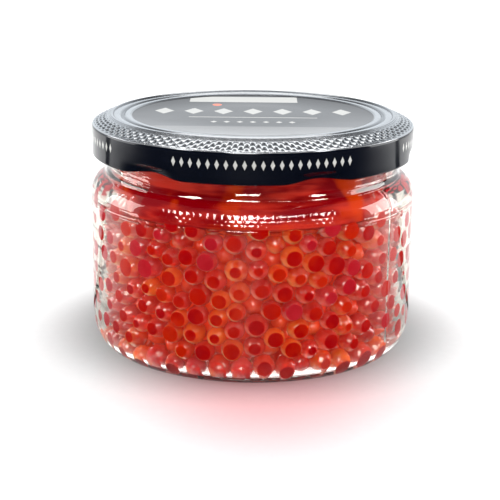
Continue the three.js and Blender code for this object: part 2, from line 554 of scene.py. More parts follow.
@dataclass(frozen=True)
class FlintGlass:
    """Clear jar glass with the faint waves that moulding leaves."""

    tint: Colour = (0.985, 0.995, 0.99)
    gloss_tint: Colour = (1.0, 0.92, 0.86)
    ior: float = 1.5
    most_rough: float = 0.02
    smudges: float = 30.0
    waves: float = 45.0
    wave_strength: float = 0.15
    layers: float = 9.0
    layered_from: Pair = (44.5, 47.0)
    layered_strength: float = 1.0
    skin_depth: float = 1.2
    ledge_height: float = 40.0
    ledge_size: float = 0.5
    ledge_relief: float = 0.12

    def make(self, groups: GroupMaker, jar: "GlassJar") -> bpy.types.Material:
        """Makes the material.

        Args:
            groups: the shared node groups.
            jar: the jar, for the places of its beads.

        Returns:
            Glass that bends what is seen through it and lets the lamps' light in.
        """
        material, desk = new_material("clear_glass")
        x, y, height = desk.place_in_mm()
        strength = desk.ramp(
            height, *self.layered_from, self.wave_strength, self.layered_strength
        )
        waves = desk.group(
            groups.ripple, Waves=self.waves, Layers=self.layers, Strength=strength
        )
        relief = desk.node(
            "ShaderNodeBump",
            {
                "Height": self._relief(desk, jar, x, y, height),
                "Strength": 1.0,
                "Distance": MM,
                "Normal": waves,
            },
        )
        glass = desk.node(
            "ShaderNodeBsdfPrincipled",
            {
                "Base Color": self.tint,
                "Roughness": desk.group(
                    groups.mottle, Spots=self.smudges, Low=0.0, High=self.most_rough
                ),
                "IOR": self.ior,
                "Specular Tint": self.gloss_tint,
                "Transmission Weight": 1.0,
                "Normal": relief.outputs["Normal"],
            },
        )
        let_through(desk, glass, self.tint)
        return material

    def _relief(
        self, desk: NodeDesk, jar: "GlassJar", x: Socket, y: Socket, height: Socket
    ) -> Socket:
        """Gives the fine roundness of the moulded beads and of the ledge under them.

        Args:
            desk: the material's node desk.
            jar: the jar, for the places of its beads.
            x: the place across, in millimetres.
            y: the place in depth.
            height: the place upwards.

        Returns:
            How far the surface stands out, in millimetres.
        """
        around = desk.front_angle(x, y)
        step = math.tau / jar.bead_count
        beads = 0.0
        for row, (middle, half_height, relief, flat) in enumerate(jar.bead_rings):
            cell = desk.maths("PINGPONG", desk.maths("ADD", around, row * step / 2), step / 2)
            across = desk.maths("POWER", desk.maths("DIVIDE", cell, step / 2), 4.0)
            along = desk.maths("DIVIDE", desk.off(height, middle), half_height)
            slope = desk.maths("MAXIMUM", desk.maths("SUBTRACT", 1.0, along), 0.0)
            slope = desk.maths("MINIMUM", desk.maths("DIVIDE", slope, 1.0 - flat), 1.0)
            bead = desk.maths("MULTIPLY", desk.maths("SUBTRACT", 1.0, across), slope)
            beads = desk.maths("MULTIPLY_ADD", bead, relief, beads)
        from_middle = desk.maths("PINGPONG", around, math.pi / 2)
        beads = desk.maths(
            "MULTIPLY", beads, desk.ramp(from_middle, *jar.bead_fade, 1.0, 0.0)
        )
        low = desk.maths("SUBTRACT", height, self.ledge_height)
        low = desk.maths("DIVIDE", low, self.ledge_size)
        ledge = desk.maths("SUBTRACT", 1.0, desk.maths("MULTIPLY", low, low))
        ledge = desk.maths("MULTIPLY", desk.maths("MAXIMUM", ledge, 0.0), self.ledge_relief)
        outside = desk.step(desk.length(x, y), jar.inner_radius + self.skin_depth, 0.1)
        return desk.maths("MULTIPLY", desk.maths("ADD", beads, ledge), outside)


@dataclass(frozen=True)
class PearlJelly:
    """A pearl: soft red flesh under clear jelly, with a deep red disc where it is pressed."""

    tone: PearlTone
    skin: Colour
    deep_skin: Colour
    painted_lit_side: Colour
    disc: Colour
    bright_disc: Colour
    jelly: Colour = (1.0, 0.85, 0.75)
    passing_tint: Colour = (0.95, 0.72, 0.65)
    flesh_share: float = 0.6
    light_reach: float = 0.0022
    light_spread: Triple = (1.0, 0.3, 0.12)
    depth_colour: Colour = (0.95, 0.35, 0.01)
    density: float = 700.0
    ior: float = 1.37
    roughness: float = 0.02
    spots: float = 0.4
    wrinkles: float = 0.18
    wrinkle_waves: float = 700.0
    # painted shade: pearls are tinted darker from the first height to the second, as if in the
    # lid's shadow
    painted_shade_from: Pair = (42.5, 46.5)
    painted_shade_tint: Colour = (0.7, 0.3, 0.35)

    def make(self, groups: GroupMaker) -> bpy.types.Material:
        """Makes the material.

        Args:
            groups: the shared node groups.

        Returns:
            A wet translucent pearl whose pressed disc is deep and flat in colour.
        """
        material, desk = new_material(f"salmon_roe_{self.tone.value}")
        uneven = uneven_shade(desk, groups, self.spots)
        height = desk.place_in_mm()[2]
        skin = desk.blend(uneven, self.skin, self.deep_skin)
        # painted light: the skin turns to its lit side colour on each pearl's lower left, as if
        # light were focused through the jelly
        skin = desk.blend(desk.attribute("lit"), skin, self.painted_lit_side)
        # painted shade: pearls high under the lid are darkened
        skin = desk.tint(desk.ramp(height, *self.painted_shade_from), skin, self.painted_shade_tint)
        wrinkled = desk.group(
            groups.ripple, Waves=self.wrinkle_waves, Strength=self.wrinkles
        )
        flesh = desk.node(
            "ShaderNodeBsdfPrincipled",
            {
                "Base Color": skin,
                "Normal": wrinkled,
                "Roughness": self.roughness,
                "IOR": self.ior,
                "Subsurface Weight": 1.0,
                "Subsurface Scale": self.light_reach,
                "Subsurface Radius": self.light_spread,
                "Sheen Weight": 0.3,
                "Sheen Roughness": 0.3,
                "Sheen Tint": (1.0, 0.5, 0.35),
                "Coat Weight": 1.0,
                "Coat IOR": 1.75,
                "Coat Roughness": 0.02,
                "Coat Normal": wrinkled,
            },
        )
        jelly = desk.node(
            "ShaderNodeBsdfPrincipled",
            {
                "Base Color": self.jelly,
                "Normal": wrinkled,
                "Roughness": self.roughness,
                "IOR": self.ior,
                "Transmission Weight": 1.0,
            },
        )
        window = desk.node(
            "ShaderNodeBsdfPrincipled",
            {
                "Base Color": desk.blend(uneven, self.disc, self.bright_disc),
                "Roughness": 0.9,
                "Specular IOR Level": 0.0,
            },
        )
        pearl = desk.mixed(self.flesh_share, jelly, flesh)
        whole = desk.mixed(desk.attribute("pressed"), pearl, window)
        out = let_through(desk, whole, self.passing_tint)
        depth = desk.node(
            "ShaderNodeVolumeAbsorption",
            {"Color": self.depth_colour, "Density": self.density},
        )
        desk.feed(out.inputs["Volume"], depth.outputs[0])
        return material


@dataclass(frozen=True)
class DeepRoe:
    """The pearls behind the first layer, seen as a dim red-orange mass."""

    light: Colour = (0.6, 0.06, 0.012)
    dark: Colour = (0.48, 0.022, 0.004)
    spots: float = 0.3
    # painted light: emission standing in for light scattered through the roe
    glow: float = 0.18

    def make(self, groups: GroupMaker) -> bpy.types.Material:
        """Makes the material.

        Args:
            groups: the shared node groups.

        Returns:
            A soft red-orange with a painted glow of its own, for the light that the mass lets
            through.
        """
        material, desk = new_material("salmon_roe_deep")
        colour = desk.blend(uneven_shade(desk, groups, self.spots), self.light, self.dark)
        roe = desk.node(
            "ShaderNodeBsdfPrincipled",
            {
                "Base Color": colour,
                "Roughness": 0.25,
                # painted glow: the roe shines with its own colour
                "Emission Color": colour,
                "Emission Strength": self.glow,
            },
        )
        desk.surface(roe)
        return material


@dataclass(frozen=True)
class PressedRoe:
    """The wet roe that is squeezed flat against the glass under the lid, deep red in streaks."""

    deep: Colour = (0.17, 0.0, 0.002)
    bright: Colour = (0.42, 0.022, 0.012)
    warm: Colour = (0.5, 0.035, 0.0)
    streak_waves: float = 55.0
    streak_layers: float = 5.0
    streak_edges: Pair = (0.42, 0.64)

    def make(self, groups: GroupMaker) -> bpy.types.Material:
        """Makes the material.

        Args:
            groups: the shared node groups.

        Returns:
            A flat deep red with long brighter streaks and a few orange patches.
        """
        material, desk = new_material("salmon_roe_pressed")
        stretched = desk.node(
            "ShaderNodeMapping",
            {"Vector": desk.place(), "Scale": (1.0, 1.0, self.streak_layers)},
        )
        streaks = desk.node(
            "ShaderNodeTexNoise",
            {"Vector": stretched.outputs[0], "Scale": self.streak_waves, "Detail": 3.0},
        )
        streak = desk.ramp(streaks.outputs["Fac"], *self.streak_edges)
        patches = desk.group(groups.mottle, Spots=90.0, Low=-1.0, High=0.7)
        colour = desk.blend(
            desk.maths("MAXIMUM", patches, 0.0),
            desk.blend(streak, self.deep, self.bright),
            self.warm,
        )
        roe = desk.node(
            "ShaderNodeBsdfPrincipled",
            {"Base Color": colour, "Roughness": 0.9, "Specular IOR Level": 0.0},
        )
        desk.surface(roe)
        return material


@dataclass(frozen=True)
class LozengeRow:
    """A printed row of lozenges, one of them centred on across = 0."""

    middle: float
    half_height: float
    spacing: float
    half_width: float
    reach: float

    def mask(self, desk: NodeDesk, across: Socket, along: Socket) -> Socket:
        """Gives 1 on the lozenges and 0 off them.

        Args:
            desk: the material's node desk.
            across: the place along the row.
            along: the place at right angles to it.

        Returns:
            The mask.
        """
        half = self.spacing / 2
        cell = desk.maths("PINGPONG", desk.maths("ADD", across, half), half)
        wide = desk.maths("DIVIDE", desk.maths("SUBTRACT", half, cell), self.half_width)
        high = desk.maths("DIVIDE", desk.off(along, self.middle), self.half_height)
        lozenge = desk.step(desk.maths("ADD", wide, high), 1.0, -0.1)
        in_row = desk.step(desk.maths("ABSOLUTE", across), self.reach, -0.05)
        return desk.maths("MULTIPLY", lozenge, in_row)


@dataclass(frozen=True)
class PrintedTinplate:
    """Navy lacquer on tinplate, bare silver on the knurled edge and the rings, pale ink."""

    lacquer: Colour = (0.0012, 0.002, 0.005)
    gloss_tint: Colour = (0.96, 0.98, 1.0)
    silver: Colour = (0.46, 0.47, 0.48)
    painted_shade_silver: Colour = (0.05, 0.055, 0.06)
    field_ink: Colour = (0.11, 0.11, 0.11)
    shape_ink: Colour = (0.40, 0.40, 0.38)
    dot_ink: Colour = (0.75, 0.10, 0.02)
    bare_metal: float = 0.95
    bare_rough: float = 0.12
    lacquer_rough: Pair = (0.05, 0.11)
    field_radius: float = 32.3
    ink_radius: float = 31.6
    ink_softness: float = 0.12
    skirt_top: float = 59.75
    top_height: float = 60.7
    chord: float = -17.5
    block: tuple[Pair, Pair] = ((-2.7, 24.7), (15.2, 4.6))
    rule: tuple[Pair, Pair] = ((0.0, -4.2), (17.0, 0.35))
    dot_middle: Pair = (-10.0, 15.5)
    dot_radius: float = 1.3
    dot_stretch: float = 1.3
    big_row: LozengeRow = LozengeRow(5.0, 4.6, 8.0, 2.6, 27.0)
    small_row: LozengeRow = LozengeRow(-11.0, 1.3, 3.4, 0.9, 12.0)
    skirt_row: LozengeRow = LozengeRow(56.7, 1.2, 3.0, 0.75, 31.5)
    skirt_row_turn: float = 3.5
    skirt_radius: float = 42.55

    def make(self, groups: GroupMaker) -> bpy.types.Material:
        """Makes the material.

        Args:
            groups: the shared node groups.

        Returns:
            The lid's finish, chosen by where a point is on the lid.
        """
        material, desk = new_material("lid_lacquer")
        x, y, z = desk.place_in_mm()
        radius = desk.length(x, y)
        bare = desk.maths(
            "MULTIPLY",
            desk.step(radius, self.field_radius, 0.1),
            desk.step(z, self.skirt_top, 0.12),
        )
        # painted shade: the bare silver is darkened where the recess attribute marks the knurl's
        # hollows and the grooves
        silver = desk.blend(desk.attribute("recess"), self.silver, self.painted_shade_silver)
        least, most = self.lacquer_rough
        dust = desk.group(groups.mottle, Spots=90.0, Low=least, High=most)
        tin = desk.node(
            "ShaderNodeBsdfPrincipled",
            {
                "Base Color": desk.blend(bare, self._printed(desk, x, y, z, radius), silver),
                "Metallic": desk.maths("MULTIPLY", bare, self.bare_metal),
                "Roughness": desk.maths("MULTIPLY_ADD", bare, self.bare_rough, dust),
                "Specular IOR Level": 0.18,
                "Specular Tint": self.gloss_tint,
                "Normal": desk.group(groups.ripple, Waves=70.0, Strength=0.08),
            },
        )
        desk.surface(tin)
        return material

    def _printed(
        self, desk: NodeDesk, x: Socket, y: Socket, z: Socket, radius: Socket
    ) -> Socket:
        """Gives the lacquer's colour with the plain shapes printed on it.

        Args:
            desk: the material's node desk.
            x: the place across, in millimetres.
            y: the place in depth.
            z: the height.
            radius: the distance from the lid's axis.

        Returns:
            The colour.
        """
        top = desk.maths(
            "MULTIPLY",
            desk.step(z, self.top_height, 0.1),
            desk.step(radius, self.ink_radius, -self.ink_softness),
        )
        inked = self._oblong(desk, x, y, *self.block)
        for more in (
            self._oblong(desk, x, y, *self.rule),
            self.big_row.mask(desk, x, y),
            self.small_row.mask(desk, x, y),
        ):
            inked = desk.maths("MAXIMUM", inked, more)
        inked = desk.maths("MULTIPLY", top, inked)
        degrees = desk.maths("MULTIPLY", desk.front_angle(x, y), 180.0 / math.pi)
        turned = desk.maths("SUBTRACT", degrees, self.skirt_row_turn)
        turned = desk.maths("WRAP", turned, 45.0, -45.0)
        on_skirt = desk.step(radius, self.skirt_radius, 0.05)
        skirt = desk.maths("MULTIPLY", self.skirt_row.mask(desk, turned, z), on_skirt)
        aside = desk.maths("SUBTRACT", x, self.dot_middle[0])
        ahead = desk.maths("SUBTRACT", y, self.dot_middle[1])
        ahead = desk.maths("DIVIDE", ahead, self.dot_stretch)
        dot = desk.step(desk.length(aside, ahead), self.dot_radius, -0.15)
        pale_field = desk.maths("MULTIPLY", top, desk.step(y, self.chord, -0.15))
        colour = desk.blend(pale_field, self.lacquer, self.field_ink)
        colour = desk.blend(desk.maths("MAXIMUM", inked, skirt), colour, self.shape_ink)
        return desk.blend(desk.maths("MULTIPLY", top, dot), colour, self.dot_ink)

    def _oblong(
        self, desk: NodeDesk, across: Socket, along: Socket, middle: Pair, half: Pair
    ) -> Socket:
        """Masks an upright rectangle.

        Args:
            desk: the material's node desk.
            across: the place across.
            along: the place at right angles to it.
            middle: the rectangle's middle.
            half: its half widths.

        Returns:
            1 inside and 0 outside.
        """
        sides = (
            desk.step(desk.off(value, centre), reach, -self.ink_softness)
            for value, centre, reach in zip((across, along), middle, half)
        )
        return desk.maths("MULTIPLY", *sides)


# The jar


@dataclass
class GlassJar:
    """The clear jar: one skin, outside and inside, with its moulded beads and seams."""

    body_radius: float = 43.45
    wall: float = 3.4
    floor: float = 2.3
    floor_dome: tuple[Pair, ...] = ((0.0, 1.0), (12.0, 0.8), (24.0, 0.3))
    foot_radius: float = 38.6
    foot_width: float = 3.2
    foot_flat: float = 0.6
    heel_height: float = 8.8
    punt_height: float = 0.9
    punt_slope: float = 1.8
    shoulder_start: float = 41.5
    shoulder_round: float = 5.5
    shoulder_sweep: float = 66.0
    beaded_sweep: Pair = (-1.5, 33.0)
    plain_start: float = 36.0
    neck_radius: float = 39.3
    neck_start: float = 48.3
    mouth_radius: float = 36.6
    mouth_start: float = 48.9
    rim_top: float = 60.3
    rim_round: float = 0.9
    thread_middle: float = 55.5
    thread_bulge: float = 1.2
    thread_half_height: float = 1.1
    inner_heel: Pair = (1.9, 2.5)
    inner_shoulder: Pair = (4.3, 5.9)
    inner_sweep: float = 72.0
    bead_count: int = 136
    bead_fade: Pair = (math.radians(27.2), math.radians(34.0))
    # Each ring's height, half height, relief and the share of it that is flat
    bead_rings: tuple[tuple[float, float, float, float], ...] = (
        (43.85, 0.75, 0.05, 0.7),
        (42.6, 0.45, 0.08, 0.0),
        (41.7, 0.42, 0.11, 0.0),
    )
    mesh_relief_share: float = 0.4
    seam_angle: float = 54.0
    seam_width: float = 0.45
    seam_height: float = 0.14
    seam_skin: float = 0.6
    columns: int = 816

    @property
    def inner_radius(self) -> float:
        """The radius of the straight inner wall."""
        return self.body_radius - self.wall

    @property
    def shoulder_centre(self) -> Pair:
        """The middle of the arc that rounds the shoulder."""
        return self.body_radius - self.shoulder_round, self.shoulder_start

    def outside(self) -> Outline:
        """Draws the outer skin.

        Returns:
            The outline from the middle of the underside to the top of the rim.
        """
        foot_inside = self.foot_radius - self.foot_width
        punt_edge = (foot_inside - self.punt_slope, self.punt_height)
        centre = self.shoulder_centre
        round_radii = (self.shoulder_round, self.shoulder_round)
        sweep = math.radians(self.shoulder_sweep)
        plain_shoulder = arc(centre, round_radii, self.plain_start, self.shoulder_sweep, 6)
        curve_end = plain_shoulder[-1]
        run_in = (curve_end[0] - self.neck_radius) / math.tan(sweep)
        thread = [
            (
                self.neck_radius + self.thread_bulge * (0.5 + 0.5 * math.cos(math.pi * t)),
                self.thread_middle + self.thread_half_height * t,
            )
            for t in np.linspace(-1.0, 1.0, 9)
        ]
        return [
            (0.0, self.punt_height),
            punt_edge,
            *bend(
                punt_edge,
                (foot_inside - 0.5, self.punt_height - 0.1),
                (foot_inside + 0.2, 0.0),
                5,
            ),
            (self.foot_radius - self.foot_flat, 0.0),
            *arc(
                (self.foot_radius, self.heel_height),
                (self.body_radius - self.foot_radius, self.heel_height),
                -90.0,
                0.0,
                12,
            ),
            (self.body_radius, 25.0),
            *arc(centre, round_radii, *self.beaded_sweep, 17),
            *plain_shoulder,
            *bend(
                curve_end,
                (self.neck_radius, curve_end[1] + run_in),
                (self.neck_radius, self.neck_start),
                4,
            ),
            *thread,
            *arc(
                (self.neck_radius - self.rim_round, self.rim_top - self.rim_round),
                (self.rim_round, self.rim_round),
                0.0,
                90.0,
                4,
            ),
        ]

    def inside(self) -> Outline:
        """Draws the inner skin.

        Returns:
            The outline from the middle of the inner floor to the rim's inside.
        """
        width, height = self.inner_shoulder
        heel_width, heel_height = self.inner_heel
        middle = (self.inner_radius - width, self.shoulder_start)
        shoulder = arc(middle, (width, height), 0.0, self.inner_sweep, 8)
        return [
            *((r, self.floor + self.punt_height * share) for r, share in self.floor_dome),
            *arc(
                (self.inner_radius - heel_width, self.floor + heel_height),
                (heel_width, heel_height),
                -90.0,
                0.0,
                10,
            ),
            *shoulder,
            *bend(
                shoulder[-1],
                (self.mouth_radius, shoulder[-1][1] + 0.3),
                (self.mouth_radius, self.mouth_start),
                3,
            ),
            *arc(
                (self.mouth_radius + self.rim_round, self.rim_top - self.rim_round),
                (self.rim_round, self.rim_round),
                180.0,
                90.0,
                4,
            ),
        ]

    def build(self, material: bpy.types.Material) -> bpy.types.Object:
        """Makes the jar with its moulded relief.

        Args:
            material: the jar's glass.

        Returns:
            The jar piece.
        """
        outline = self.outside() + self.inside()[::-1]
        data = finished_mesh(lathe(outline, self.columns), "glass_jar")
        points = points_of(data)
        rise = self.bead_relief(points) + self.seam_relief(points)
        radius, height = self.shoulder_centre
        lean = np.arctan2(
            np.maximum(points[:, 2] - height, 0.0),
            np.maximum(reach_of(points) - radius, TINY),
        )
        push(points, rise * np.cos(lean), rise * np.sin(lean))
        move_points(data, points)
        return shown(data, material)

    def bead_relief(self, points: np.ndarray) -> np.ndarray:
        """Shapes the rings of small beads.

        Args:
            points: the jar's vertices.

        Returns:
            How far each point stands out.
        """
        radius, height = self.shoulder_centre
        aside = reach_of(points) - radius
        above = points[:, 2] - height
        on_arc = np.abs(np.hypot(aside, above) - self.shoulder_round) < ON_SURFACE
        lean = np.arctan2(above, aside)
        around = front_angles(points)
        step = math.tau / self.bead_count
        rise = np.zeros(len(points))
        for row, (middle, half_height, relief, flat) in enumerate(self.bead_rings):
            row_lean = math.asin((middle - height) / self.shoulder_round)
            along = np.abs(lean - row_lean) * self.shoulder_round / half_height
            across = turn_apart(around, row * step / 2, step) / (step / 2)
            bead = (1.0 - across**4) * np.clip((1.0 - along) / (1.0 - flat), 0.0, 1.0)
            rise = np.maximum(rise, self.mesh_relief_share * relief * bead)
        from_middle = np.abs(turn_apart(around, 0.0, math.pi))
        rise *= 1.0 - soft_step(from_middle, *self.bead_fade)
        return np.where(on_arc, rise, 0.0)

    def seam_relief(self, points: np.ndarray) -> np.ndarray:
        """Shapes the two seams that the mould leaves.

        Args:
            points: the jar's vertices.

        Returns:
            How far each point stands out.
        """
        reach = reach_of(points)
        height = points[:, 2]
        outer = reach > self.inner_radius + self.seam_skin
        outer &= height > self.heel_height / 2
        outer &= height < self.shoulder_start + self.shoulder_round
        across = turn_apart(front_angles(points), math.radians(self.seam_angle), math.pi)
        share = np.clip(1.0 - np.abs(across * reach) / self.seam_width, 0.0, 1.0)
        return np.where(outer, share * self.seam_height, 0.0)


# The lid


@dataclass
class TwistOffLid:
    """The pressed metal lid: flat panel, rings, knurled edge, skirt, curl and lugs."""

    radius: float = 43.0
    top: float = 62.3
    height: float = 10.7
    sheet: float = 0.35
    panel_radius: float = 32.3
    panel_drop: float = 0.8
    # The pressed rings, as distances out and up from the panel's edge
    rings: tuple[Pair, ...] = (
        (-0.4, 0.0),
        (0.0, 0.08),
        (0.3, 0.34),
        (0.5, 0.38),
        (1.5, 0.38),
        (1.7, 0.34),
        (2.0, -0.04),
        (2.2, -0.1),
        (2.6, -0.1),
        (2.8, -0.04),
        (3.1, 0.36),
        (3.3, 0.42),
        (4.6, 0.46),
        (4.8, 0.4),
        (4.95, 0.5),
        (5.1, 0.74),
    )
    ridge_radius: float = 37.6
    ridge_edge: Pair = (0.2, 0.03)
    fine_steps: int = 18
    fine_waves: float = 3.0
    fine_relief: float = 0.05
    skirt_top: float = 59.8
    side_heights: tuple[float, ...] = (57.0, 55.2, 54.6, 54.2, 53.9, 53.6)
    curl_radius: float = 0.8
    seal: tuple[Pair, Pair] = ((39.4, 60.65), (35.9, 60.65))
    knurl_count: int = 92
    knurl_rows: int = 4
    knurl_steps: int = 28
    knurl_inner: float = 38.8
    knurl_outer: float = 42.5
    knurl_foot: float = 0.25
    knurl_relief: float = 0.16
    knurl_fade: float = 0.3
    fine_start: float = 37.8
    # Where each groove's painted shade starts, is full, fades and ends, and how dark it is
    painted_shade_rings: tuple[tuple[float, float, float, float, float], ...] = (
        (33.9, 34.2, 35.2, 35.5, 0.7),
        (36.95, 37.1, 37.3, 37.45, 0.8),
        (32.2, 32.35, 32.5, 32.7, 0.5),
    )
    painted_shade_fine: tuple[float, float, float, float] = (37.7, 37.8, 38.6, 38.8)
    painted_shade_fine_depth: float = 0.7
    lug_count: int = 6
    lug_first_angle: float = 23.0
    lug_half_width: float = 14.0
    lug_depth: float = 1.9
    lug_lift: float = 0.9
    lug_heights: Pair = (0.6, 3.6)
    lug_reach: float = 3.0
    columns_per_cell: int = 8

    @property
    def bottom(self) -> float:
        """The height of the lid's lowest edge."""
        return self.top - self.height

    @property
    def shelf(self) -> Pair:
        """The outer edge of the ring's highest part."""
        return self.ridge_radius + self.ridge_edge[0], self.top - self.ridge_edge[1]

    @property
    def knurl_end(self) -> Pair:
        """Where the knurled slope ends."""
        return self.knurl_outer, self.skirt_top + self.knurl_foot

    @property
    def knurl_start(self) -> Pair:
        """Finds where the knurled slope begins.

        Returns:
            The radius and the height.
        """
        slope = (self.top - self.knurl_end[1]) / (self.knurl_outer - self.ridge_radius)
        fall = slope * (self.knurl_inner - self.ridge_radius)
        return self.knurl_inner, self.shelf[1] - fall

    def outline(self) -> Outline:
        """Draws the pressed sheet.

        Returns:
            The outline over the top, round the curl and back underneath.
        """
        panel = self.top - self.panel_drop
        edge = self.panel_radius
        middle = [(0.0, panel), (edge * 0.5, panel)]
        rings = [(edge + out, panel + up) for out, up in self.rings]
        fine_turn = self.fine_waves * math.tau / self.fine_steps
        fine = [
            (radius, height + self.fine_relief * math.sin(index * fine_turn))
            for index, (radius, height) in enumerate(
                line(self.shelf, self.knurl_start, self.fine_steps), 1
            )
        ]
        knurl = line(self.knurl_start, self.knurl_end, self.knurl_steps)
        rounded = bend(
            self.knurl_end,
            (self.radius, self.skirt_top + 0.05),
            (self.radius, self.skirt_top - 0.7),
            5,
        )
        curl = arc(
            (self.radius - self.curl_radius, self.bottom + self.curl_radius),
            (self.curl_radius, self.curl_radius),
            0.0,
            -225.0,
            12,
        )
        inside = self.radius - self.sheet
        back = [
            *((inside, z) for z in reversed(self.side_heights)),
            (inside, self.skirt_top - 0.9),
            *bend(
                (inside, self.skirt_top - 0.9),
                (inside, self.skirt_top - 0.2),
                (self.knurl_outer - 0.4, self.skirt_top - 0.3),
                3,
            ),
            (self.knurl_inner - 0.2, self.knurl_start[1] - self.sheet - 0.35),
            *self.seal,
            (edge + 2.5, panel - 0.1 - self.sheet),
            (edge, panel - self.sheet),
            (0.0, panel - self.sheet),
        ]
        side = [(self.radius, z) for z in self.side_heights]
        ridge = [(self.ridge_radius, self.top), self.shelf]
        return middle + rings + ridge + fine + knurl + rounded + side + curl + back

    def build(self, material: bpy.types.Material) -> bpy.types.Object:
        """Makes the lid with its knurled edge and its lugs.

        Args:
            material: the lid's finish.

        Returns:
            The lid piece.
        """
        columns = self.knurl_count * self.columns_per_cell
        data = finished_mesh(lathe(self.outline(), columns), "twist_off_lid")
        points = points_of(data)
        # painted shade for the knurl's hollows and the grooves, kept as the recess attribute
        recess = np.maximum(self.press_knurl(points), self.groove_painted_shade(points))
        self.press_lugs(points)
        move_points(data, points)
        set_values(data, "recess", recess)
        return shown(data, material)

    def groove_painted_shade(self, points: np.ndarray) -> np.ndarray:
        """Gives the painted shade in the grooves round the panel.

        Args:
            points: the lid's vertices.

        Returns:
            How much painted shade each point gets in a groove, from 0 to 1.
        """
        reach = reach_of(points)
        on_top = points[:, 2] > self.top - self.panel_drop - 0.2
        share = (reach - self.fine_start) / (self.knurl_inner - self.fine_start)
        waves = 0.5 - 0.5 * np.sin(share * self.fine_waves * math.tau)
        # painted shade along the fine rings and in the grooves
        depth = self.painted_shade_fine_depth * soft_band(reach, *self.painted_shade_fine) * waves
        for *edges, dark in self.painted_shade_rings:
            depth = np.maximum(depth, dark * soft_band(reach, *edges))
        return np.where(on_top, depth, 0.0)

    def press_knurl(self, points: np.ndarray) -> np.ndarray:
        """Presses staggered rows of scales into the sloping edge.

        Args:
            points: the lid's vertices, which are moved.

        Returns:
            How much painted shade each point gets between the scales, from 0 to 1.
        """
        low = np.array(self.knurl_start)
        slope = np.array(self.knurl_end) - low
        length = float(np.linalg.norm(slope))
        out, up = slope / length
        aside = reach_of(points) - low[0]
        above = points[:, 2] - low[1]
        along = aside * out + above * up
        on_edge = np.abs(above * out - aside * up) < ON_SURFACE
        on_edge &= (along > -ON_SURFACE) & (along < length + ON_SURFACE)
        around = front_angles(points) * self.knurl_count
        wave = np.cos(around) * np.cos(math.pi * along / length * self.knurl_rows)
        fade = np.clip(np.minimum(along, length - along) / self.knurl_fade, 0.0, 1.0)
        rise = np.where(on_edge, self.knurl_relief * wave * fade, 0.0)
        push(points, rise * -up, rise * out)
        # painted shade between the scales
        return np.where(on_edge, fade * soft_step(-wave, -0.2, 0.8), 0.0)

    def press_lugs(self, points: np.ndarray) -> None:
        """Presses six stretches of the bottom edge in towards the neck.

        Args:
            points: the lid's vertices, which are moved.
        """
        first = math.radians(self.lug_first_angle)
        away = turn_apart(front_angles(points), first, math.tau / self.lug_count)
        share = np.clip(away / math.radians(self.lug_half_width), -1.0, 1.0)
        around = 0.5 + 0.5 * np.cos(math.pi * share)
        low = 1.0 - soft_step(points[:, 2] - self.bottom, *self.lug_heights)
        side = reach_of(points) > self.radius - self.lug_reach
        pressed = np.where(side, around * low, 0.0)
        push(points, -self.lug_depth * pressed, self.lug_lift * pressed)


# The roe


class Cavity:
    """The inside of the jar, for measuring how far a pearl is from the glass."""

    def __init__(self, outline: Outline, fill_top: float) -> None:
        """Closes the hollow's outline at the top of the roe.

        Args:
            outline: the glass's inner outline, from the middle of the floor up.
            fill_top: the height that the roe reaches.
        """
        kept = [point for point in outline if point[1] < fill_top]
        kept += [(kept[-1][0], fill_top), (0.0, fill_top)]
        self.points = np.array(kept)
        self.starts = self.points[:-1]
        self.runs = self.points[1:] - self.starts
        self.lengths = np.linalg.norm(self.runs, axis=1)

    @property
    def extent(self) -> tuple[float, float, float]:
        """The widest radius, the lowest height and the highest."""
        low, high = self.points[:, 1].min(), self.points[:, 1].max()
        return float(self.points[:, 0].max()), float(low), float(high)

    def volume(self) -> float:
        """Measures the room inside.

        Returns:
            The volume in cubic millimetres.
        """
        r0, r1 = self.points[:-1, 0], self.points[1:, 0]
        rise = np.diff(self.points[:, 1])
        return float(math.pi / 3 * np.sum(rise * (r0 * r0 + r0 * r1 + r1 * r1)))

    def measure(self, places: np.ndarray) -> tuple[np.ndarray, np.ndarray, np.ndarray]:
        """Finds the nearest point of the cavity's boundary.

        Args:
            places: points inside or just outside, one per row.

        Returns:
            How far inside each one is, its direction away from the boundary, and whether
            the nearest boundary is the open top.
        """
        reach = reach_of(places)
        flat = np.stack([reach, places[:, 2]], axis=1)
        offset = flat[:, None, :] - self.starts[None]
        share = np.sum(offset * self.runs[None], axis=2) / self.lengths[None] ** 2
        share = np.clip(share, 0.0, 1.0)
        gap = offset - share[:, :, None] * self.runs[None]
        distance = np.linalg.norm(gap, axis=2)
        nearest = np.argmin(distance, axis=1)
        rows = np.arange(len(places))
        gap = gap[rows, nearest]
        run = self.runs[nearest] / self.lengths[nearest, None]
        inward = np.stack([-run[:, 1], run[:, 0]], axis=1)
        side = np.where(np.sum(gap * inward, axis=1) < 0.0, -1.0, 1.0)
        inside = distance[rows, nearest] * side
        aim = np.where(
            distance[rows, nearest, None] > TINY,
            gap * side[:, None] / np.maximum(distance[rows, nearest, None], TINY),
            inward,
        )
        outwards = np.stack([places[:, 0], places[:, 1]], axis=1)
        outwards /= np.maximum(reach, TINY)[:, None]
        away = np.concatenate([aim[:, :1] * outwards, aim[:, 1:]], axis=1)
        return inside, away, nearest == len(self.runs) - 1


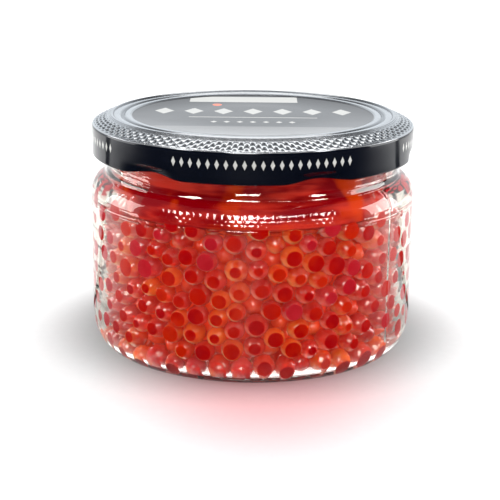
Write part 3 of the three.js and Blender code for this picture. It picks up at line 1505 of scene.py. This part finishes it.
@dataclass
class PearlPacking:
    """Pearls of uneven size pressed together until they fill the jar."""

    cavity: Cavity
    smallest: float = 2.4
    largest: float = 3.1
    filled_share: float = 0.74
    pressed_share: float = 0.965
    give_range: Pair = (0.3, 1.2)
    first_gap: float = 1.5
    near: float = 1.2
    eagerness: float = 0.6
    rounds: int = 360
    rebuild_every: int = 12
    seed: int = 11
    centres: np.ndarray = field(init=False)
    radii: np.ndarray = field(init=False)
    give: np.ndarray = field(init=False)

    def __post_init__(self) -> None:
        """Draws the pearls and presses them into place."""
        draw = np.random.default_rng(self.seed)
        mean = (self.smallest + self.largest) / 2
        count = int(self.filled_share * self.cavity.volume() / (4 / 3 * math.pi * mean**3))
        self.radii = draw.uniform(self.smallest, self.largest, count)
        self.give = draw.uniform(*self.give_range, count)
        self.centres = self._scatter(draw, count)
        self._settle()

    def _scatter(self, draw: np.random.Generator, count: int) -> np.ndarray:
        """Draws even random places inside the cavity.

        Args:
            draw: the random numbers to draw from.
            count: how many places are needed.

        Returns:
            The places.
        """
        reach, low, high = self.cavity.extent
        kept = np.empty((0, 3))
        while len(kept) < count:
            tries = draw.uniform((-reach, -reach, low), (reach, reach, high), (count * 2, 3))
            inside = self.cavity.measure(tries)[0]
            kept = np.concatenate(
                [kept, tries[(inside > self.first_gap) & (reach_of(tries) < reach)]]
            )
        return kept[:count]

    def _neighbours(self) -> tuple[np.ndarray, np.ndarray]:
        """Finds the pearls that touch or nearly do.

        Returns:
            The first and the second pearl of each pair.
        """
        places = self.centres.astype(np.float32)
        gaps = places[:, None, :] - places[None]
        apart = np.einsum("ijk,ijk->ij", gaps, gaps)
        limit = (self.radii[:, None] + self.radii[None] + self.near) ** 2
        first, second = np.nonzero(np.triu(apart < limit, 1))
        return first, second

    def _settle(self) -> None:
        """Pushes pearls that overlap apart, and back inside, until they sit still."""
        for turn in range(self.rounds):
            if turn % self.rebuild_every == 0:
                first, second = self._neighbours()
                reach = (self.radii[first] + self.radii[second]) * self.pressed_share
            gap = self.centres[second] - self.centres[first]
            distance = np.maximum(np.linalg.norm(gap, axis=1), TINY)
            overlap = np.maximum(reach - distance, 0.0)
            shove = gap * (0.5 * overlap / distance)[:, None]
            move = np.zeros_like(self.centres)
            for axis in range(3):
                move[:, axis] += np.bincount(second, shove[:, axis], len(move))
                move[:, axis] -= np.bincount(first, shove[:, axis], len(move))
            self.centres += self.eagerness * move
            inside, away, _ = self.cavity.measure(self.centres)
            short = np.maximum(self.radii - self.give - inside, 0.0)
            self.centres += away * short[:, None]


@dataclass
class PearlPattern:
    """The pattern that every pearl of a kind is copied from, cut open where it is pressed."""

    columns: int
    rings: int
    first_share: float = 0.04
    share_span: float = 0.9
    shares: np.ndarray = field(init=False)
    turns: np.ndarray = field(init=False)
    faces: list[list[int]] = field(init=False)

    def __post_init__(self) -> None:
        """Finds each vertex's share of the way from disc to far pole, and its turn."""
        ball = bmesh.new()
        bmesh.ops.create_uvsphere(
            ball, u_segments=self.columns, v_segments=self.rings, radius=1.0
        )
        poles = [v for v in ball.verts if abs(v.co.z) > 0.9999]
        bmesh.ops.dissolve_verts(ball, verts=poles)
        bmesh.ops.recalc_face_normals(ball, faces=ball.faces)
        ball.verts.index_update()
        places = np.array([v.co for v in ball.verts])
        polar = np.arccos(np.clip(places[:, 2], -1.0, 1.0))
        ring = np.rint(polar / math.pi * self.rings)
        rest = self.first_share + self.share_span * (ring - 2) / (self.rings - 3)
        self.shares = np.where(ring == 1, 0.0, rest)
        self.turns = np.arctan2(places[:, 1], places[:, 0])
        self.faces = [[v.index for v in face.verts] for face in ball.faces]
        ball.free()

    def joined(self, name: str, points: np.ndarray) -> bpy.types.Mesh:
        """Joins copies of the pattern into a single mesh.

        Args:
            name: the mesh's name.
            points: every copy's vertices in millimetres, as (copies, vertices, 3).

        Returns:
            The joined mesh in metres, smooth but for the flat discs.
        """
        copies, per_copy = points.shape[:2]
        sizes = np.array([len(face) for face in self.faces])
        corners = np.concatenate([np.array(face) for face in self.faces])
        shift = np.arange(copies) * per_copy
        loops = (corners[None] + shift[:, None]).ravel()
        totals = np.tile(sizes, copies)
        starts = np.concatenate([[0], np.cumsum(totals)[:-1]])
        data = bpy.data.meshes.new(name)
        data.vertices.add(copies * per_copy)
        data.loops.add(len(loops))
        data.polygons.add(len(totals))
        data.vertices.foreach_set("co", (points * MM).astype(np.float32).ravel())
        data.loops.foreach_set("vertex_index", loops.astype(np.int32))
        data.polygons.foreach_set("loop_start", starts.astype(np.int32))
        data.polygons.foreach_set("use_smooth", np.tile(sizes != sizes.max(), copies))
        data.update(calc_edges=True)
        data.validate()
        return data


@dataclass
class RoeFill:
    """All the roe in the jar: clear pearls at the glass, duller ones behind, and a core."""

    packing: PearlPacking
    sink: float = 0.12
    press: float = 0.1
    touch_range: float = 0.45
    touch_top: float = 41.0
    least_cut_share: float = 0.99
    tone_shares: Triple = (0.5, 0.3, 0.2)
    # painted light: the side of each pearl whose skin is painted brighter, and where that
    # painted light starts and is full
    painted_lit_side: Triple = (-0.66, 0.0, -0.75)
    painted_lit_edges: Pair = (0.3, 0.85)
    clear_range: float = 1.2
    deep_range: float = 11.0
    clear_pattern: PearlPattern = field(default_factory=lambda: PearlPattern(14, 8))
    deep_pattern: PearlPattern = field(default_factory=lambda: PearlPattern(9, 6))
    core_inset: float = 9.5
    core_columns: int = 72
    core_rounds: Pair = (6.0, 8.0)
    rim_start: Pair = (39.8, 40.5)
    rim_sink: float = 0.2
    rim_tuck: float = 1.2
    rim_air: float = 0.1
    rim_back: Pair = (6.0, 2.0)
    rim_steps: int = 80
    rim_columns: int = 360
    rim_arc: Pair = (math.radians(38.0), math.radians(56.0))
    seed: int = 5

    def build(
        self,
        jellies: dict[PearlTone, bpy.types.Material],
        deep: bpy.types.Material,
        pressed: bpy.types.Material,
    ) -> list[bpy.types.Object]:
        """Makes every piece of the roe.

        Args:
            jellies: the clear pearls' material for each tone.
            deep: the material of the pearls behind and of the core.
            pressed: the material of the roe squeezed flat under the lid.

        Returns:
            One piece for each tone, one for the pearls behind, the core and the pressed rim.
        """
        packing = self.packing
        radii = packing.radii
        inside, away, at_top = packing.cavity.measure(packing.centres)
        draw = np.random.default_rng(self.seed)
        tones = draw.choice(len(PearlTone), len(inside), p=self.tone_shares)
        clear = (inside < radii + self.clear_range) & ~at_top
        low_enough = packing.centres[:, 2] < self.touch_top
        touching = clear & low_enough & (inside < radii + self.touch_range)
        pull = np.where(touching, np.maximum(inside - radii + self.press, 0.0), 0.0)
        overlap = radii - inside + self.rim_air
        pull = np.where(clear & ~low_enough, -np.maximum(overlap, 0.0), pull)
        centres = packing.centres - away * pull[:, None]
        inside = inside - pull
        opening = np.clip((inside + self.sink) / radii, -1.0, self.least_cut_share)
        cuts = np.where(touching, np.arccos(opening), NO_DISC)
        shades = draw.uniform(0.0, 1.0, len(inside))
        behind = ~clear & (inside < self.deep_range)
        kinds = [
            (tone.value, self.clear_pattern, clear & (tones == index), jellies[tone])
            for index, tone in enumerate(PearlTone)
        ]
        kinds.append(("behind", self.deep_pattern, behind, deep))
        pieces = []
        for kind, pattern, chosen, material in kinds:
            rows = (values[chosen] for values in (centres, -away, radii, cuts, shades))
            data = self.pearls(f"roe_pearls_{kind}", pattern, *rows)
            pieces.append(shown(data, material))
        return [*pieces, self.core(deep), self.pressed_rim(pressed)]

    def pearls(
        self,
        name: str,
        pattern: PearlPattern,
        centres: np.ndarray,
        axes: np.ndarray,
        radii: np.ndarray,
        cuts: np.ndarray,
        shades: np.ndarray,
    ) -> bpy.types.Mesh:
        """Joins one mesh of many pearls, each with a flat disc where it is pressed.

        Args:
            name: the mesh's name.
            pattern: what every pearl is copied from.
            centres: the pearls' middles.
            axes: the direction of each pearl's disc.
            radii: the pearls' radii.
            cuts: the polar angle of each disc's edge.
            shades: a random value for each pearl, kept as an attribute.

        Returns:
            The joined mesh, with the attributes lit, pressed and shade.
        """
        polar = cuts[:, None] + (math.pi - cuts[:, None]) * pattern.shares[None]
        helper = np.where(np.abs(axes[:, 2:]) > 0.9, ((1.0, 0.0, 0.0),), ((0.0, 0.0, 1.0),))
        side = np.cross(helper, axes)
        side /= np.linalg.norm(side, axis=1)[:, None]
        third = np.cross(axes, side)
        across = np.sin(polar) * radii[:, None]
        along = np.cos(polar) * radii[:, None]
        points = (
            centres[:, None]
            + (across * np.cos(pattern.turns))[:, :, None] * side[:, None]
            + (across * np.sin(pattern.turns))[:, :, None] * third[:, None]
            + along[:, :, None] * axes[:, None]
        )
        data = pattern.joined(name, points)
        # painted light: how far each vertex faces the side whose skin is painted brighter
        lit = (points - centres[:, None]) @ np.array(self.painted_lit_side) / radii[:, None]
        set_values(data, "lit", soft_step(lit, *self.painted_lit_edges).ravel())
        set_values(data, "pressed", np.outer(cuts > NO_DISC, pattern.shares == 0.0).ravel())
        set_values(data, "shade", np.repeat(shades, len(pattern.shares)))
        return data

    def pressed_rim(self, material: bpy.types.Material) -> bpy.types.Object:
        """Makes the layer that is squeezed against the glass from the shoulder upwards.

        Args:
            material: the layer's finish.

        Returns:
            The layer, tucked in from the glass at the jar's two sides.
        """
        kept = self.packing.cavity.points
        wall = kept[int(np.argmax(kept[:, 0])) : -1]
        low, high = self.rim_start
        top = float(kept[-1][1])
        back, lift = self.rim_back
        heights = np.linspace(low, top, self.rim_steps)
        pressed = np.clip((heights - low) / (high - low), 0.0, 1.0)
        reach = np.interp(heights, wall[:, 1], wall[:, 0]) + self.rim_sink
        outer = list(zip(reach - self.rim_tuck * (1.0 - pressed), heights))
        shape = [(0.0, low + back), (outer[0][0] - back, low + lift), *outer, (0.0, top)]
        data = finished_mesh(lathe(shape, self.rim_columns), "roe_pressed_rim")
        points = points_of(data)
        from_middle = np.abs(turn_apart(front_angles(points), 0.0, math.pi))
        loose = soft_step(from_middle, *self.rim_arc) * self.rim_tuck
        reach = np.maximum(reach_of(points), 1.0)
        points[:, :2] *= (1.0 - loose / reach * (reach > self.rim_tuck * 4))[:, None]
        move_points(data, points)
        return shown(data, material)

    def core(self, material: bpy.types.Material) -> bpy.types.Object:
        """Makes the plain body that closes the view behind the pearls.

        Args:
            material: the body's finish.

        Returns:
            The core.
        """
        reach, low, high = self.packing.cavity.extent
        reach, low, high = reach - self.core_inset, low + self.core_inset, high - self.core_inset
        foot, crown = self.core_rounds
        shape = [
            (0.0, low),
            *arc((reach - foot, low + foot), (foot, foot), -90.0, 0.0, 5),
            *arc((reach - crown, high - crown), (crown, crown), 0.0, 90.0, 5),
            (0.0, high),
        ]
        data = finished_mesh(lathe(shape, self.core_columns), "roe_core")
        set_values(data, "shade", np.ones(len(data.vertices)))
        return shown(data, material)


# Each tone's lit side colour is painted light on one side of its pearls
PEARL_JELLIES = (
    PearlJelly(
        PearlTone.RED,
        skin=(0.62, 0.042, 0.02),
        deep_skin=(0.5, 0.012, 0.006),
        painted_lit_side=(1.0, 0.38, 0.22),
        disc=(0.25, 0.0, 0.001),
        bright_disc=(0.33, 0.004, 0.0),
    ),
    PearlJelly(
        PearlTone.ORANGE,
        skin=(0.8, 0.14, 0.012),
        deep_skin=(0.62, 0.04, 0.006),
        painted_lit_side=(1.0, 0.46, 0.16),
        disc=(0.27, 0.0, 0.0),
        bright_disc=(0.35, 0.008, 0.0),
    ),
    PearlJelly(
        PearlTone.ROSE,
        skin=(0.6, 0.048, 0.045),
        deep_skin=(0.48, 0.015, 0.02),
        painted_lit_side=(0.98, 0.36, 0.26),
        disc=(0.28, 0.003, 0.008),
        bright_disc=(0.33, 0.008, 0.014),
    ),
)


# The studio


@dataclass
class Studio:
    """A pale floor, white surroundings that are dark behind the camera, and the camera."""

    lens_pixels: float = 1362.0
    frame_pixels: float = 500.0
    sensor: float = 36.0
    camera_distance: float = 361.0
    camera_height: float = 124.6
    camera_pitch: float = 15.59
    camera_roll: float = 0.6
    shift_pixels: float = 1.6
    floor_size: float = 8.0
    floor_near: tuple[Colour, Colour] = ((0.61, 0.615, 0.615), (0.64, 0.645, 0.645))
    floor_far: Colour = (0.9, 0.9, 0.9)
    far_from: Pair = (60.0, 400.0)
    floor_glow: float = 0.15
    shadow_reach: Pair = (38.0, 66.0)
    shadow_depth: float = 0.56
    shadow_back: float = 8.0
    glow_middle: Pair = (4.0, -46.0)
    glow_size: Pair = (49.0, 68.0)
    glow_colour: Colour = (1.0, 0.58, 0.6)
    painted_light_under_jar: Colour = (0.97, 0.95, 0.92)
    under_reach: Pair = (46.0, 40.0)
    under_glow: float = 0.75
    cream: Colour = (0.80, 0.74, 0.63)
    cream_floor: Colour = (0.7, 0.66, 0.57)
    dark_front: Pair = (-0.55, 0.45)
    dark_room: Colour = (0.004, 0.005, 0.007)
    dark_floor_share: float = 0.98
    dark_floor_from: Pair = (46.0, 56.0)
    stripe_front: float = -0.43
    stripe_half_width: float = 0.05
    room_light: Colour = (1.12, 1.17, 1.22)
    side_from: Pair = (0.45, 0.8)
    side_share: float = 1.28
    overhead_from: Pair = (0.38, 0.65)
    overhead_light: Colour = (0.17, 0.18, 0.2)
    panel_light: float = 30.0
    # The bright panels, as the lowest and the highest corner of their directions
    panels: tuple[tuple[Triple, Triple], ...] = (
        ((-0.25, -1.0, 0.33), (-0.1, 0.0, 0.8)),
        ((-0.08, -1.0, 0.33), (0.06, 0.0, 0.8)),
        ((0.33, -1.0, 0.6), (0.52, 0.0, 0.66)),
        ((-0.74, -0.56, 0.42), (-0.58, -0.3, 0.75)),
        ((0.58, -0.56, 0.42), (0.74, -0.3, 0.75)),
    )
    lamp_aim: Triple = (0.0, 0.0, 0.03)

    def camera(self) -> None:
        """Places the camera at the photograph's viewpoint."""
        data = bpy.data.cameras.new("camera")
        data.sensor_width = self.sensor
        data.lens = self.lens_pixels / self.frame_pixels * self.sensor
        data.shift_x = -self.shift_pixels / self.frame_pixels
        data.clip_start = 0.01
        data.clip_end = 50.0
        camera = bpy.data.objects.new("camera", data)
        camera.matrix_world = (
            Matrix.Translation((0.0, -self.camera_distance * MM, self.camera_height * MM))
            @ Matrix.Rotation(math.radians(90.0 - self.camera_pitch), 4, "X")
            @ Matrix.Rotation(math.radians(self.camera_roll), 4, "Z")
        )
        bpy.context.scene.collection.objects.link(camera)
        bpy.context.scene.camera = camera

    def floor(self) -> None:
        """Lays the white floor, with the jar's shadow and the light through it painted into its
        colour.
        """
        material, desk = new_material("studio_floor")
        x, y, _ = desk.place_in_mm()
        reach = desk.length(x, y)
        path = desk.node("ShaderNodeLightPath").outputs
        through_glass = path["Is Transmission Ray"]
        colour = desk.tint(through_glass, self._lit_floor(desk, x, y, reach), self.cream_floor)
        # painted light: seen through the glass, the floor under the jar is bright cream and
        # glows
        under = desk.maths("MULTIPLY", through_glass, desk.ramp(reach, *self.under_reach))
        colour = desk.blend(under, colour, self.painted_light_under_jar)
        # painted reflection: in reflections the floor in front of the jar turns dark, like the
        # dark room behind the camera
        dark = desk.maths("MULTIPLY", self._darkness(desk, x, y, reach), self.dark_floor_share)
        dark = desk.maths("MULTIPLY", dark, desk.ramp(reach, *self.dark_floor_from))
        dark = desk.maths("MULTIPLY", dark, path["Is Glossy Ray"])
        colour = desk.blend(dark, colour, BLACK)
        ground = desk.node(
            "ShaderNodeBsdfPrincipled",
            {
                "Base Color": colour,
                "Roughness": 0.6,
                "Specular IOR Level": 0.1,
                "Emission Color": colour,
                "Emission Strength": desk.maths(
                    "MULTIPLY_ADD", under, self.under_glow, self.floor_glow
                ),
            },
        )
        desk.surface(ground)
        sheet = bmesh.new()
        bmesh.ops.create_grid(sheet, x_segments=8, y_segments=8, size=self.floor_size / 2)
        data = finished_mesh(sheet, "studio_floor")
        shown(data, material)

    def _lit_floor(self, desk: NodeDesk, x: Socket, y: Socket, reach: Socket) -> Socket:
        """Gives the floor's colour with the jar's soft shadow and the light through the roe
        painted into it.

        Args:
            desk: the floor's node desk.
            x: the place across, in millimetres.
            y: the place in depth.
            reach: the distance from the jar's axis.

        Returns:
            The colour.
        """
        speckle = desk.node(
            "ShaderNodeTexNoise", {"Vector": desk.place(), "Scale": 400.0, "Detail": 2.0}
        )
        # painted shade: the floor is darker near the jar than far away, evening out the lamps'
        # extra light near it
        near = desk.blend(speckle.outputs["Fac"], *self.floor_near)
        pale = desk.blend(desk.ramp(reach, *self.far_from), near, self.floor_far)
        # painted shadow: the floor is darkened in a soft ring round a point just behind the jar
        from_shadow = desk.length(x, desk.maths("SUBTRACT", y, self.shadow_back))
        shadow = desk.ramp(from_shadow, *self.shadow_reach, self.shadow_depth, 0.0)
        shaded = desk.blend(shadow, pale, BLACK)
        # painted light: a pink glow on the floor in front of the jar, as if light came through
        # the roe
        from_glow = (
            desk.maths("DIVIDE", desk.maths("SUBTRACT", value, middle), size)
            for value, middle, size in zip((x, y), self.glow_middle, self.glow_size)
        )
        glow = desk.ramp(desk.length(*from_glow), 0.1, 1.0, 1.0, 0.0)
        return desk.tint(glow, shaded, self.glow_colour)

    def _darkness(self, desk: NodeDesk, x: Socket, y: Socket, reach: Socket) -> Socket:
        """Gives how dark the room is in a direction.

        Args:
            desk: the node desk to work on.
            x: the direction's part across.
            y: its part in depth.
            reach: the length of the two together.

        Returns:
            The darkness, from 0 to 1.
        """
        front = desk.maths("DIVIDE", desk.maths("MULTIPLY", y, -1.0), reach)
        from_stripe = desk.off(front, self.stripe_front)
        stripe = desk.step(from_stripe, self.stripe_half_width, -0.02)
        return desk.maths("MAXIMUM", desk.ramp(front, *self.dark_front), stripe)

    def surroundings(self) -> None:
        """Sets the white room, which glass and metal see as dark in front with bright panels."""
        world = bpy.data.worlds.new("studio")
        bpy.context.scene.world = world
        world.use_nodes = True
        world.node_tree.nodes.clear()
        desk = NodeDesk(world.node_tree)
        way = desk.node("ShaderNodeTexCoord").outputs["Generated"]
        x, y, z = desk.node("ShaderNodeSeparateXYZ", {"Vector": way}).outputs
        path = desk.node("ShaderNodeLightPath").outputs
        darkness = self._darkness(desk, x, y, desk.length(x, y))
        room = desk.blend(darkness, self.room_light, self.dark_room)
        sides = desk.ramp(desk.maths("ABSOLUTE", x), *self.side_from, 1.0, self.side_share)
        mirrored = desk.maths("SUBTRACT", 1.0, path["Is Transmission Ray"])
        room = desk.tint(mirrored, room, sides)
        room = desk.blend(desk.ramp(z, *self.overhead_from), room, self.overhead_light)
        panels = 0.0
        for low, high in self.panels:
            panel = 1.0
            for value, first, last in zip((x, y, z), low, high):
                panel = desk.maths("MULTIPLY", panel, desk.step(value, first, 0.01))
                panel = desk.maths("MULTIPLY", panel, desk.step(value, last, -0.01))
            panels = desk.maths("MAXIMUM", panels, panel)
        room = desk.blend(panels, room, (self.panel_light,) * 3)
        room = desk.tint(path["Is Transmission Ray"], room, self.cream)
        colour = desk.blend(path["Is Glossy Ray"], (1.0, 1.0, 1.0), room)
        back = desk.node("ShaderNodeBackground", {"Color": colour, "Strength": 1.0})
        desk.node("ShaderNodeOutputWorld", {"Surface": back.outputs[0]})

    def lamp(self, name: str, place: Triple, size: Pair, power: float) -> None:
        """Hangs one soft box that faces the jar.

        Args:
            name: the lamp's name.
            place: where it hangs, in metres.
            size: its width and its other side, in metres.
            power: its power in watts.
        """
        data = bpy.data.lights.new(name, "AREA")
        data.shape = "RECTANGLE"
        data.size, data.size_y = size
        data.energy = power
        lamp = bpy.data.objects.new(name, data)
        turn = (Vector(self.lamp_aim) - Vector(place)).to_track_quat("-Z", "Y")
        lamp.matrix_world = Matrix.Translation(place) @ turn.to_matrix().to_4x4()
        bpy.context.scene.collection.objects.link(lamp)

    def build(self) -> None:
        """Makes the floor, the light and the camera."""
        self.floor()
        self.surroundings()
        self.lamp("top_box", (0.0, 0.2, 0.72), (0.8, 0.3), 2.4)
        self.lamp("front_box", (0.05, -0.7, 0.56), (0.5, 0.06), 3.0)
        self.lamp("left_box", (-0.5, 0.1, 0.16), (0.3, 0.3), 1.8)
        self.lamp("right_box", (0.5, 0.1, 0.16), (0.3, 0.3), 2.1)
        self.camera()
        bpy.context.scene.view_settings.view_transform = "Standard"


def main() -> None:
    """Builds the jar, the lid, the roe and the studio round the CAD frame."""
    logging.basicConfig(level=logging.INFO, format="%(name)s: %(message)s")
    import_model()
    groups = GroupMaker()
    jar = GlassJar()
    glass = jar.build(FlintGlass().make(groups, jar))
    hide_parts("jar")
    lid = TwistOffLid().build(PrintedTinplate().make(groups))
    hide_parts("lid")
    packing = PearlPacking(Cavity(jar.inside(), FILL_TOP))
    log.info("packed %d pearls", len(packing.radii))
    roe = RoeFill(packing).build(
        {jelly.tone: jelly.make(groups) for jelly in PEARL_JELLIES},
        DeepRoe().make(groups),
        PressedRoe().make(groups),
    )
    for piece in roe:
        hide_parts("roe")
    for piece in (glass, lid, *roe):
        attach(piece, "root")
        log.info("%s: %d faces", piece.name, len(piece.data.polygons))
    Studio().build()


if __name__ == "__main__":
    main()
